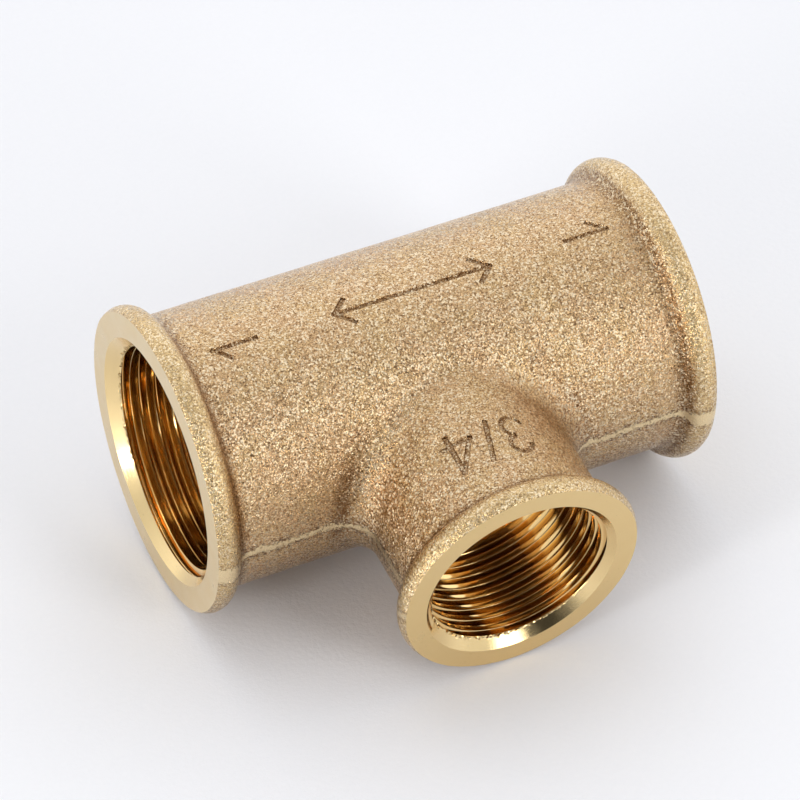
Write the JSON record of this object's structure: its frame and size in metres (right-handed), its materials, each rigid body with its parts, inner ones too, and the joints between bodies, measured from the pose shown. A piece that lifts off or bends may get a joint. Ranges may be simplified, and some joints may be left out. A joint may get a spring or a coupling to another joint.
{
  "type": "pipe tee fitting",
  "caption": "Cast bronze reducing tee with beaded ends: a straight run and a smaller branch, all with female parallel pipe threads.",
  "frame": {"origin": "where the axis of the run crosses the axis of the branch, the point from which centre-to-face lengths are measured", "axes": "+X along the run; the branch points along -Y; +Z is square to both, and the size marks are on the +Z side; z = 0 is the casting's parting plane"},
  "size_m": [0.071, 0.0563, 0.0416],
  "materials": {
    "tee_body": "sand-cast and shot-blasted skin, machined faces and threads"
  },
  "bodies": {
    "root": {"tee_body": "tee_body"}
  },
  "joints": []
}
